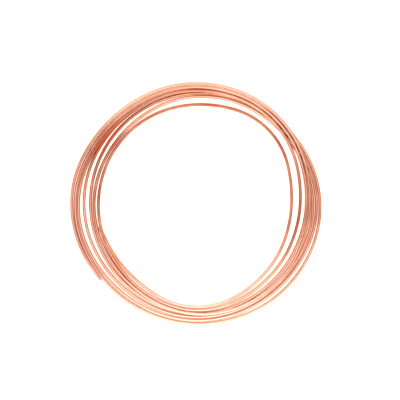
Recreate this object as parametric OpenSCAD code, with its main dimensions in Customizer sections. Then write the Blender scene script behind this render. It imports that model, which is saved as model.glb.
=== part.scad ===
/* [Tube] */
// Outside diameter of the tube
tube_od = 4.76; // [3:0.01:6.5]
// Thickness of the tube's wall
tube_wall = 0.71; // [0.5:0.01:1]
// Straight length left at each cut end
stub_len = 25; // [12:1:40]

/* [Coil] */
// Radius of the coil's eye, to the middle of the innermost lane
eye_radius = 145; // [130:1:220]
// Clear gap between two tubes that lie side by side
turn_gap = 0.14; // [0.1:0.01:0.6]

/* [Hidden] */

// One pitch is the room a tube takes in the coil, both sideways and upwards
pitch = tube_od + turn_gap;
// Angle between two of the stations at which the lay of the coil is set
station = 45;
// The slim bends are drawn this much thinner on both faces, and run this far into the full ones
seat = 0.01;
lap = 0.3;

// Where the coil starts and stops: angle, lane out from the eye, layer up from the floor
start = [203, 1.15, 1.1];
finish = [211, 9, 1.7];
// The first sweep, from the lower left round to the lower right: lane and layer at each station
first_sweep = [[1, 0.4], [3.1, 0], [1.1, 0]];
// Each row is one turn: right, upper right, top, upper left, left, lower left, bottom, lower right
turns = [
  [[0.3, 0], [2.8, 0], [1.6, 0], [1.4, 0], [1.4, 0], [2.3, 0], [4.15, 0.2], [2.9, 0.6]],
  [[2.95, 1], [5.5, 1], [5.8, 1], [5.95, 1], [7.65, 0.6], [7.1, 0.5], [7.3, 0.2], [7.45, 0]],
  [[8.15, 0], [6.3, 0], [5.2, 0], [4.4, 0], [3.95, 0], [4.25, 0], [5.2, 0], [4.6, 0.4]],
  [[4.9, 1], [6.65, 1], [7, 1], [7.05, 1], [8.7, 0.6], [8.2, 0.5], [8.35, 0.2], [9.15, 0]],
  [[9.3, 0], [7.35, 0], [6.25, 0], [5.75, 0], [5.95, 0], [5.6, 0], [6.25, 0], [6.4, 0]],
  [[7, 0], [5.25, 0], [4.1, 0], [2.6, 0], [2.8, 0], [3.15, 0.6], [5.2, 1.05], [5.75, 1]],
];
// The last half turn, over the top of the others to the outer end
last_sweep = [[5.95, 1], [7.75, 1], [8.1, 1], [8.15, 1], [9.75, 0.9]];

lay = concat(first_sweep, [for (turn = turns) each turn], last_sweep);
n = len(lay) + 1;
function station_angle(i) = station * (i + 4);
function outermost(a) = max([for (i = [1:n - 1]) if (station_angle(i) % 360 == a) lay[i - 1][0]]);
// The middle of the coil's outline, so that the part stands centred
middle = pitch / 2 * [outermost(0) - outermost(180), outermost(90) - outermost(270)];

// A point on the tube's centre line from its angle, lane and layer
function lay_point(angle, lane, layer) =
  let (r = eye_radius + lane * pitch)
  [r * cos(angle) - middle[0], r * sin(angle) - middle[1], layer * pitch + tube_od / 2];
points = [
  for (i = [0:n])
    i == 0 ? lay_point(start[0], start[1], start[2])
    : i == n ? lay_point(finish[0], finish[1], finish[2])
    : lay_point(station_angle(i), lay[i - 1][0], lay[i - 1][1])
];

function unit(v) = v / norm(v);
function flat(v) = [v[0], v[1], 0];
// Slope between two slopes, level wherever the tube stops rising or falling
function even_slope(a, b) = a * b <= 0 ? 0 : 2 * a * b / (a + b);
// Direction of the tube at a point: along the circle through it and its two neighbours
function direction_at(i) =
  let (a = points[i] - points[i - 1], b = points[i + 1] - points[i])
  let (fa = flat(a), fb = flat(b))
  let (along = unit(fa / (fa * fa) + fb / (fb * fb)))
  unit(along + [0, 0, even_slope(a[2] / norm(fa), b[2] / norm(fb))]);
// Direction at the far end of one arc that leaves along t and spans the chord c
function far_direction(t, c) = let (e = unit(c)) 2 * (t * e) * e - t;
directions = [
  for (i = [0:n])
    i == 0 ? -far_direction(-direction_at(1), points[0] - points[1])
    : i == n ? far_direction(direction_at(n - 1), points[n] - points[n - 1])
    : direction_at(i)
];

// Where two arcs meet that leave p along t and arrive at q along s
function arc_joint(p, t, q, s) =
  let (v = q - p, along = v * (t + s), k = 2 * (1 - t * s))
  let (d = (sqrt(along * along + k * (v * v)) - along) / k)
  (p + q + d * (t - s)) / 2;

module tube_section(thinner) {
  difference() {
    circle(r = tube_od / 2 - thinner, $fn = 32);
    circle(r = tube_od / 2 - tube_wall + thinner, $fn = 32);
  }
}

// One bend, turned about its own centre, from p along t to q
module bend(p, t, q, slim) {
  c = q - p;
  side = c - (c * t) * t;
  radius = (c * c) / (2 * norm(side));
  inward = unit(side);
  centre = p + radius * inward;
  up = cross(-inward, t);
  sweep = 2 * atan2(norm(side), c * t);
  more = slim ? lap / radius * 180 / PI : 0;
  multmatrix([for (k = [0:2]) [-inward[k], t[k], up[k], centre[k]]])
    rotate_extrude(start = -more, angle = sweep + 2 * more, $fn = 120)
      translate([radius, 0]) tube_section(slim ? seat : 0);
}

// A straight end that leaves p along t
module stub(p, t) {
  across = unit([-t[1], t[0], 0]);
  up = cross(t, across);
  multmatrix([for (k = [0:2]) [across[k], up[k], t[k], p[k]]])
    linear_extrude(height = stub_len) tube_section(0);
}

module tube() {
  color("peru") union() {
    stub(points[0], -directions[0]);
    for (i = [0:n - 2]) {
      joint = arc_joint(points[i], directions[i], points[i + 1], directions[i + 1]);
      bend(points[i], directions[i], joint, true);
      bend(points[i + 1], -directions[i + 1], joint, false);
    }
    bend(points[n - 1], directions[n - 1], points[n], true);
    stub(points[n], directions[n]);
  }
}

tube();
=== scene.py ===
import math

import bmesh
import bpy
from mathutils import Matrix, Vector


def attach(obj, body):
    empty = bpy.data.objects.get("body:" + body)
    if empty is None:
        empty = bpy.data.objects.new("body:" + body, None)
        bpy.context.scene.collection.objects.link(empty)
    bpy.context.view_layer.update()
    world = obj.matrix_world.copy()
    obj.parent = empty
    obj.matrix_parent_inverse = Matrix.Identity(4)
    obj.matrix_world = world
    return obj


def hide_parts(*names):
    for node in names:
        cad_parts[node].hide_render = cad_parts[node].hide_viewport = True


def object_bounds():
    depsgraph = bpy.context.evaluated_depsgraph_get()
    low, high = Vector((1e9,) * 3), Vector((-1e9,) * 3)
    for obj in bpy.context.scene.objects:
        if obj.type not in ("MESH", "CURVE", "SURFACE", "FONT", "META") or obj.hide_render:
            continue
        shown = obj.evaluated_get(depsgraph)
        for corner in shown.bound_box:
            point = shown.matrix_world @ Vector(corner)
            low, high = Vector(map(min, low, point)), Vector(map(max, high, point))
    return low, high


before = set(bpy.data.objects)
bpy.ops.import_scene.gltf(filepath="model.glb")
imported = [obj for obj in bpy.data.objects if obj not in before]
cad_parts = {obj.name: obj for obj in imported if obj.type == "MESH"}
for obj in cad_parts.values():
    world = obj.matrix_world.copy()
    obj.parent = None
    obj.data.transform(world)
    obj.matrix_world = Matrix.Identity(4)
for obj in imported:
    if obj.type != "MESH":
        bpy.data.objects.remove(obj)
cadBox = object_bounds()
print("frame loaded, CAD box", [[round(v, 4) for v in corner] for corner in cadBox])

mm = 0.001

# The tube is laid in lanes out from the eye and layers up from the floor, both counted in pitches
coil = {
    "outsideDiameter": 4.76 * mm,
    "wall": 0.71 * mm,
    "stubLength": 25 * mm,
    "eyeRadius": 145 * mm,
    "turnGap": 0.14 * mm,
    "stationAngle": 45,
    "firstStation": 225,
    "start": (203, 1.15, 1.1),   # angle, lane, layer of the inner end
    "finish": (211, 9, 1.7),     # and of the outer end
    "firstSweep": [(1, 0.4), (3.1, 0), (1.1, 0)],
    # right, upper right, top, upper left, left, lower left, bottom, lower right
    "turns": [
        [(0.3, 0), (2.8, 0), (1.6, 0), (1.4, 0), (1.4, 0), (2.3, 0), (4.15, 0.2), (2.9, 0.6)],
        [(2.95, 1), (5.5, 1), (5.8, 1), (5.95, 1), (7.65, 0.6), (7.1, 0.5), (7.3, 0.2), (7.45, 0)],
        [(8.15, 0), (6.3, 0), (5.2, 0), (4.4, 0), (3.95, 0), (4.25, 0), (5.2, 0), (4.6, 0.4)],
        [(4.9, 1), (6.65, 1), (7, 1), (7.05, 1), (8.7, 0.6), (8.2, 0.5), (8.35, 0.2), (9.15, 0)],
        [(9.3, 0), (7.35, 0), (6.25, 0), (5.75, 0), (5.95, 0), (5.6, 0), (6.25, 0), (6.4, 0)],
        [(7, 0), (5.25, 0), (4.1, 0), (2.6, 0), (2.8, 0), (3.15, 0.6), (5.2, 1.05), (5.75, 1)],
    ],
    "lastSweep": [(5.95, 1), (7.75, 1), (8.1, 1), (8.15, 1), (9.75, 0.9)],
    "sides": 28,
    "wallSteps": 14,             # rings in each bend of the outside
    "boreSteps": 5,              # and of the bore, which shows only at its ends
    "neckLength": 0.8 * mm,      # the cutter wheel rolls the rim in a little
    "neckDepth": 0.14 * mm,
    "rimRound": 0.09 * mm,
    "rimAngle": 1,               # faces that meet more sharply than this, in radians, are a cut rim
    "weldGap": 0.01 * mm,
}


def layStations():
    lay = coil["firstSweep"] + [spot for turn in coil["turns"] for spot in turn] + coil["lastSweep"]
    spots = [(coil["firstStation"] + coil["stationAngle"] * i, lane, layer)
             for i, (lane, layer) in enumerate(lay)]
    return [coil["start"]] + spots + [coil["finish"]]


def centreLine():
    stations = layStations()
    pitch = coil["outsideDiameter"] + coil["turnGap"]

    def outermost(side):
        return max(lane for angle, lane, layer in stations[1:-1] if angle % 360 == side)

    middle = Vector((outermost(0) - outermost(180), outermost(90) - outermost(270), 0)) * pitch / 2
    points = []
    for angle, lane, layer in stations:
        reach = coil["eyeRadius"] + lane * pitch
        turn = math.radians(angle)
        height = layer * pitch + coil["outsideDiameter"] / 2
        points.append(Vector((reach * math.cos(turn), reach * math.sin(turn), height)) - middle)
    return points


def evenSlope(before, after):
    return 0 if before * after <= 0 else 2 * before * after / (before + after)


def farDirection(leaving, chord):
    e = chord.normalized()
    return 2 * leaving.dot(e) * e - leaving


def tubeDirections(points):
    directions = []
    for last, here, following in zip(points, points[1:], points[2:]):
        before, after = here - last, following - here
        flatBefore, flatAfter = Vector((*before.xy, 0)), Vector((*after.xy, 0))
        along = flatBefore / flatBefore.length_squared + flatAfter / flatAfter.length_squared
        along.normalize()
        along.z = evenSlope(before.z / flatBefore.length, after.z / flatAfter.length)
        directions.append(along.normalized())
    first = -farDirection(-directions[0], points[0] - points[1])
    last = farDirection(directions[-1], points[-1] - points[-2])
    return [first] + directions + [last]


def bendBetween(p, t, q):
    chord = q - p
    side = chord - chord.dot(t) * t
    radius = chord.length_squared / (2 * side.length)
    inward = side.normalized()
    return {
        "centre": p + radius * inward,
        "out": -inward,
        "along": t,
        "axis": (-inward).cross(t),
        "radius": radius,
        "sweep": 2 * math.atan2(side.length, chord.dot(t)),
    }


def tubeBends(points, directions):
    bends = []
    spans = list(zip(points, directions, points[1:], directions[1:]))
    for p, t, q, s in spans[:-1]:
        span, both = q - p, t + s
        lengthwise = span.dot(both)
        k = 2 * (1 - t.dot(s))
        arm = (math.sqrt(lengthwise ** 2 + k * span.length_squared) - lengthwise) / k
        joint = (p + q + arm * (t - s)) / 2
        bends.append(bendBetween(p, t, joint))
        bends.append(bendBetween(joint, (span - arm * both).normalized(), q))
    p, t, q, s = spans[-1]
    bends.append(bendBetween(p, t, q))
    return bends


def ringFrame(place, direction):
    # the first corner of the ring lies underneath, so that the seam of the pattern does too
    down = Vector((0, 0, -1))
    side = direction.cross(down).normalized()
    turned = Matrix((side.cross(direction), side, direction)).transposed()
    return Matrix.Translation(place) @ turned.to_4x4()


def ringEdges(verts):
    inside = set(verts)
    return list({e for v in verts for e in v.link_edges if all(w in inside for w in e.verts)})


def newTubeMesh():
    bm = bmesh.new()
    bm.verts.layers.float.new("along")
    bm.verts.layers.float.new("around")
    return bm


def windShell(whole, radius, steps, points, directions, bends, faceDepth):
    # Each stretch is wound in a small mesh of its own, which keeps the operators quick
    bm = newTubeMesh()
    along, around = bm.verts.layers.float["along"], bm.verts.layers.float["around"]
    stub, neck = coil["stubLength"], coil["neckLength"]
    tipRadius = radius - coil["neckDepth"]
    pull = tipRadius / radius
    facePull = 1 - faceDepth / tipRadius

    def keep(ring):
        stretch = bpy.data.meshes.new("stretch")
        bm.to_mesh(stretch)
        whole.from_mesh(stretch)
        bpy.data.meshes.remove(stretch)
        bmesh.ops.delete(bm, geom=[v for v in bm.verts if v not in ring], context="VERTS")

    def draw(ring, step, size, place):
        grown = bmesh.ops.extrude_edge_only(bm, edges=ringEdges(ring))["geom"]
        fresh = [g for g in grown if isinstance(g, bmesh.types.BMVert)]
        bmesh.ops.translate(bm, verts=fresh, vec=step)
        middle = sum((v.co for v in fresh), Vector()) / len(fresh)
        bmesh.ops.scale(bm, verts=fresh, vec=(size,) * 3, space=Matrix.Translation(-middle))
        for v in fresh:
            v[along] = place
        return fresh

    tip = ringFrame(points[0] - stub * directions[0], directions[0])
    ring = bmesh.ops.create_circle(bm, segments=coil["sides"], radius=tipRadius * facePull,
                                   matrix=tip)["verts"]
    for i, v in enumerate(ring):
        v[around] = i / coil["sides"]
    if faceDepth:
        ring = draw(ring, Vector(), 1 / facePull, 0)
    ring = draw(ring, directions[0] * neck, 1 / pull, neck)
    ring = draw(ring, directions[0] * (stub - neck), 1, stub)
    travelled = stub
    for bend in bends:
        keep(ring)
        spun = bmesh.ops.spin(bm, geom=ring + ringEdges(ring), cent=bend["centre"], axis=bend["axis"],
                              angle=bend["sweep"], steps=steps, use_duplicate=False)["geom_last"]
        for v in bm.verts:
            spoke = v.co - bend["centre"]
            turned = math.atan2(spoke.dot(bend["along"]), spoke.dot(bend["out"]))
            v[along] = travelled + bend["radius"] * turned
        ring = [g for g in spun if isinstance(g, bmesh.types.BMVert)]
        travelled += bend["radius"] * bend["sweep"]
    ring = draw(ring, directions[-1] * (stub - neck), 1, travelled + stub - neck)
    ring = draw(ring, directions[-1] * neck, pull, travelled + stub)
    if faceDepth:
        ring = draw(ring, Vector(), facePull, travelled + stub)
    miss = sum((v.co for v in ring), Vector()) / len(ring) - (points[-1] + stub * directions[-1])
    print("shell of radius", round(radius / mm, 3), "mm wound over", round(travelled + stub, 4),
          "m, end off by", round(miss.length / mm, 4), "mm")
    keep(ring)
    bm.free()


def makeTube():
    points = centreLine()
    directions = tubeDirections(points)
    bends = tubeBends(points, directions)
    bm = newTubeMesh()
    outer = coil["outsideDiameter"] / 2
    windShell(bm, outer, coil["wallSteps"], points, directions, bends, coil["wall"])
    windShell(bm, outer - coil["wall"], coil["boreSteps"], points, directions, bends, 0)
    bmesh.ops.remove_doubles(bm, verts=bm.verts, dist=coil["weldGap"])
    bmesh.ops.recalc_face_normals(bm, faces=bm.faces)
    rims = [e for e in bm.edges if e.calc_face_angle(0) > coil["rimAngle"]]
    print("cut rims have", len(rims), "edges, open edges", sum(e.is_boundary for e in bm.edges))
    along, around = bm.verts.layers.float["along"], bm.verts.layers.float["around"]
    bmesh.ops.bevel(bm, geom=rims, offset=coil["rimRound"], offset_type="OFFSET", affect="EDGES",
                    segments=2, profile=0.5, material=-1)
    uv = bm.loops.layers.uv.new("lay")
    for face in bm.faces:
        face.smooth = True
        # a face over the seam counts on past one turn
        turns = [loop.vert[around] for loop in face.loops]
        wraps = max(turns) - min(turns) > 0.5
        for loop, turn in zip(face.loops, turns):
            loop[uv].uv = (loop.vert[along], turn + 1 if wraps and turn < 0.5 else turn)
    mesh = bpy.data.meshes.new("coiledTube")
    bm.to_mesh(mesh)
    bm.free()
    tube = bpy.data.objects.new("coiledTube", mesh)
    bpy.context.scene.collection.objects.link(tube)
    print("tube has", sum(len(p.vertices) - 2 for p in mesh.polygons), "triangles")
    return tube


copper = {
    # how dull the copper is where it takes each tone
    "tones": [
        (0.15, (0.7, 0.39, 0.293, 1)),     # bright
        (0.55, (0.63, 0.268, 0.166, 1)),   # handled
        (0.85, (0.385, 0.148, 0.086, 1)),  # dull
        # the reddened tone is the deep red of copper reflected in copper in shade, painted where the
        # shade stretches and areas push the dullness up; the noise alone reaches it in places
        (1.0, (0.46, 0.085, 0.035, 1)),    # reddened
    ],
    "edgeTint": (1, 0.6, 0.45, 1),
    # painted shade where the turns are duller and darker, or painted light where they are brighter for a
    # weight below nought: place, reach, weight
    "paintedLightAndShade": [
        ((-0.13, 0.095, 0), 0.09, 0.2),
        ((0, -0.18, 0), 0.2, -0.42),
        ((0, 0.18, 0), 0.13, -0.06),
        ((0.16, -0.09, 0), 0.1, -0.2),
    ],
    # painted shade by metres along the tube: the inner turns are painted darker at the top and on both
    # sides, one short stretch is painted lighter, and the middle turns are painted deep red at the upper
    # left for copper reflected in copper in shade
    "paintedShadeAndLightAlongTube": [
        (0.02, 0.15, 0.5),
        (0.64, 0.3, 0.5),
        (0.75, 0.08, 0.15),
        (0.845, 0.05, -0.25),
        (0.94, 0.12, 0.45),
        (1.42, 0.3, 0.25),
        (1.8, 0.2, 0.5),
        (2.94, 0.22, 0.5),
        (3.99, 0.15, 0.25),
        (5.12, 0.2, 0.5),
        (6.4, 0.2, 0.35),
    ],
    # noise scales: per metre, or per metre along the tube and per turn round it
    "patchScale": 9,
    "speckScale": 620,
    "streaks": (6, 3),
    "drawLines": (14, 46),
    "scuffs": (150, 9),
    "ripple": (25, 2),
    # where a noise starts and stops to show, and what it comes to there
    "patchSpread": (0.3, 0.75, -0.2, 0.6),
    "speckSpread": (0.63, 0.72, 0, 1),
    "scuffSpread": (0.6, 0.72, 0, 1),
    # what each pattern adds to the dullness
    "streakShare": 0.3,
    "scuffShare": -0.25,
    "speckShare": 0.22,
    "lineShare": 0.22,
    "roughness": (0.32, 0.47),             # of bright and of reddened copper
    "scuffRoughness": 0.12,
    "lineDepth": 0.01 * mm,
    "rippleDepth": 0.03 * mm,
}


def copperMaterial():
    material = bpy.data.materials.new("drawnCopper")
    material.use_nodes = True
    nodes, links = material.node_tree.nodes, material.node_tree.links
    shader = nodes["Principled BSDF"]
    shader.inputs["Metallic"].default_value = 1.0
    shader.inputs["Specular Tint"].default_value = copper["edgeTint"]

    def noise(vector, scale, detail, roughness=0.5):
        node = nodes.new("ShaderNodeTexNoise")
        node.inputs["Scale"].default_value = scale
        node.inputs["Detail"].default_value = detail
        node.inputs["Roughness"].default_value = roughness
        links.new(vector, node.inputs["Vector"])
        return node.outputs["Fac"]

    def spread(value, low, high, toLow, toHigh):
        node = nodes.new("ShaderNodeMapRange")
        node.inputs["From Min"].default_value = low
        node.inputs["From Max"].default_value = high
        node.inputs["To Min"].default_value = toLow
        node.inputs["To Max"].default_value = toHigh
        links.new(value, node.inputs["Value"])
        return node.outputs["Result"]

    def stretched(vector, scale):
        node = nodes.new("ShaderNodeMapping")
        node.inputs["Scale"].default_value = (scale[0], scale[1], 1)
        links.new(vector, node.inputs["Vector"])
        return node.outputs["Vector"]

    def mixed(value, weight, rest):
        node = nodes.new("ShaderNodeMath")
        node.operation = "MULTIPLY_ADD"
        node.inputs[1].default_value = weight
        links.new(value, node.inputs[0])
        links.new(rest, node.inputs[2])
        return node.outputs["Value"]

    def distanceFrom(vector, spot):
        node = nodes.new("ShaderNodeVectorMath")
        node.operation = "DISTANCE"
        node.inputs[1].default_value = spot
        links.new(vector, node.inputs[0])
        return node.outputs["Value"]

    def raised(height, depth, below=None):
        node = nodes.new("ShaderNodeBump")
        node.inputs["Strength"].default_value = 1.0
        node.inputs["Distance"].default_value = depth
        links.new(height, node.inputs["Height"])
        if below:
            links.new(below, node.inputs["Normal"])
        return node.outputs["Normal"]

    place = nodes.new("ShaderNodeTexCoord").outputs["Object"]
    layMap = nodes.new("ShaderNodeUVMap")
    layMap.uv_map = "lay"
    lay = layMap.outputs["UV"]
    patches = spread(noise(place, copper["patchScale"], detail=4, roughness=0.6), *copper["patchSpread"])
    specks = spread(noise(place, copper["speckScale"], detail=2), *copper["speckSpread"])
    streaks = noise(stretched(lay, copper["streaks"]), scale=1, detail=3)
    lines = noise(stretched(lay, copper["drawLines"]), scale=1, detail=4, roughness=0.6)
    scuffs = noise(stretched(lay, copper["scuffs"]), scale=1, detail=2)
    scuffs = spread(scuffs, *copper["scuffSpread"])
    ripple = noise(stretched(lay, copper["ripple"]), scale=1, detail=1)

    # the dullness: random patches of tone, painted shade and painted light by place and along the tube,
    # then streaks, scuffs, specks and draw lines
    wearAndPaintedShade = patches
    # painted shade at the upper left, painted light at the bottom, the top and the lower right
    for spot, reach, weight in copper["paintedLightAndShade"]:
        wearAndPaintedShade = mixed(spread(distanceFrom(place, spot), 0, reach, weight, 0), 1, wearAndPaintedShade)
    lengthwise = stretched(lay, (1, 0))
    # painted shade, and a little painted light, along the tube
    for middle, reach, weight in copper["paintedShadeAndLightAlongTube"]:
        away = distanceFrom(lengthwise, (middle, 0, 0))
        wearAndPaintedShade = mixed(spread(away, 0, reach, weight, 0), 1, wearAndPaintedShade)
    wearAndPaintedShade = mixed(scuffs, copper["scuffShare"], mixed(streaks, copper["streakShare"], wearAndPaintedShade))
    wearAndPaintedShade = mixed(lines, copper["lineShare"], mixed(specks, copper["speckShare"], wearAndPaintedShade))
    tones = nodes.new("ShaderNodeValToRGB")
    steps = tones.color_ramp.elements
    first, *between, last = copper["tones"]
    steps[0].position, steps[0].color = first
    steps[1].position, steps[1].color = last
    for dullness, tone in between:
        steps.new(dullness).color = tone
    links.new(wearAndPaintedShade, tones.inputs["Fac"])
    links.new(tones.outputs["Color"], shader.inputs["Base Color"])
    matt = mixed(scuffs, copper["scuffRoughness"], spread(wearAndPaintedShade, 0, 1, *copper["roughness"]))
    links.new(matt, shader.inputs["Roughness"])
    rippled = raised(ripple, copper["rippleDepth"])
    links.new(raised(lines, copper["lineDepth"], rippled), shader.inputs["Normal"])
    return material


tube = makeTube()
tube.data.materials.append(copperMaterial())
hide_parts("tube")
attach(tube, "root")
print("tube wound and dressed")

studio = {
    "floorSize": 30,
    "floorColor": (0.95, 0.89, 0.84, 1),
    "floorRoughness": 0.9,
    # the floor is a light table, so that no grey shows in the gaps between the turns; its
    # copper-coloured glow is a painted reflection of the turns into the gaps
    "glowColor": (1, 0.69, 0.54, 1),
    "glowStrength": 0.6,
    # a strip overhead, and a soft wall on the near and the far side: size, place, power in watts
    "lights": {
        "overheadStrip": ((0.9, 3.2), (0, -0.3, 2.2), 26),
        "nearWall": ((4.0, 1.6), (0, -1.35, 0.9), 42),
        "farWall": ((3.2, 1.4), (0, 2.0, 1.0), 27),
    },
    "skyColor": (1, 1, 1, 1),
    "skyStrength": 0.61,
}


def makeFloor():
    bm = bmesh.new()
    bmesh.ops.create_grid(bm, x_segments=1, y_segments=1, size=studio["floorSize"] / 2)
    mesh = bpy.data.meshes.new("studioFloor")
    bm.to_mesh(mesh)
    bm.free()
    floor = bpy.data.objects.new("studioFloor", mesh)
    bpy.context.scene.collection.objects.link(floor)
    paint = bpy.data.materials.new("paleFloor")
    paint.use_nodes = True
    shader = paint.node_tree.nodes["Principled BSDF"]
    shader.inputs["Base Color"].default_value = studio["floorColor"]
    shader.inputs["Roughness"].default_value = studio["floorRoughness"]
    shader.inputs["Emission Color"].default_value = studio["glowColor"]
    shader.inputs["Emission Strength"].default_value = studio["glowStrength"]
    mesh.materials.append(paint)


def makeLights():
    for name, (size, place, power) in studio["lights"].items():
        light = bpy.data.lights.new(name, "AREA")
        light.shape = "RECTANGLE"
        light.size, light.size_y = size
        light.energy = power
        lamp = bpy.data.objects.new(name, light)
        lamp.location = place
        lamp.rotation_euler = Vector(place).to_track_quat("Z", "Y").to_euler()
        bpy.context.scene.collection.objects.link(lamp)
    world = bpy.data.worlds.new("studioSky")
    world.use_nodes = True
    background = world.node_tree.nodes["Background"]
    background.inputs["Color"].default_value = studio["skyColor"]
    background.inputs["Strength"].default_value = studio["skyStrength"]
    bpy.context.scene.world = world
    bpy.context.scene.view_settings.view_transform = "Standard"


camera = {
    "lens": 85,
    "sensor": 36,
    "framePixels": 400,
    "coilPixels": 252,             # width of the coil in the photograph
    "coilCentre": (196.0, 203.9),  # its middle there, from the top left corner
}


def makeCamera():
    metresPerPixel = (cadBox[1][0] - cadBox[0][0]) / camera["coilPixels"]
    frameWidth = metresPerPixel * camera["framePixels"]
    distance = frameWidth * camera["lens"] / camera["sensor"]
    half = camera["framePixels"] / 2
    eye = bpy.data.cameras.new("photoCamera")
    eye.lens, eye.sensor_width = camera["lens"], camera["sensor"]
    holder = bpy.data.objects.new("photoCamera", eye)
    holder.location = ((half - camera["coilCentre"][0]) * metresPerPixel,
                       (camera["coilCentre"][1] - half) * metresPerPixel,
                       distance + (cadBox[0][2] + cadBox[1][2]) / 2)
    bpy.context.scene.collection.objects.link(holder)
    bpy.context.scene.camera = holder


makeFloor()
makeLights()
makeCamera()
print("floor, light and camera set")
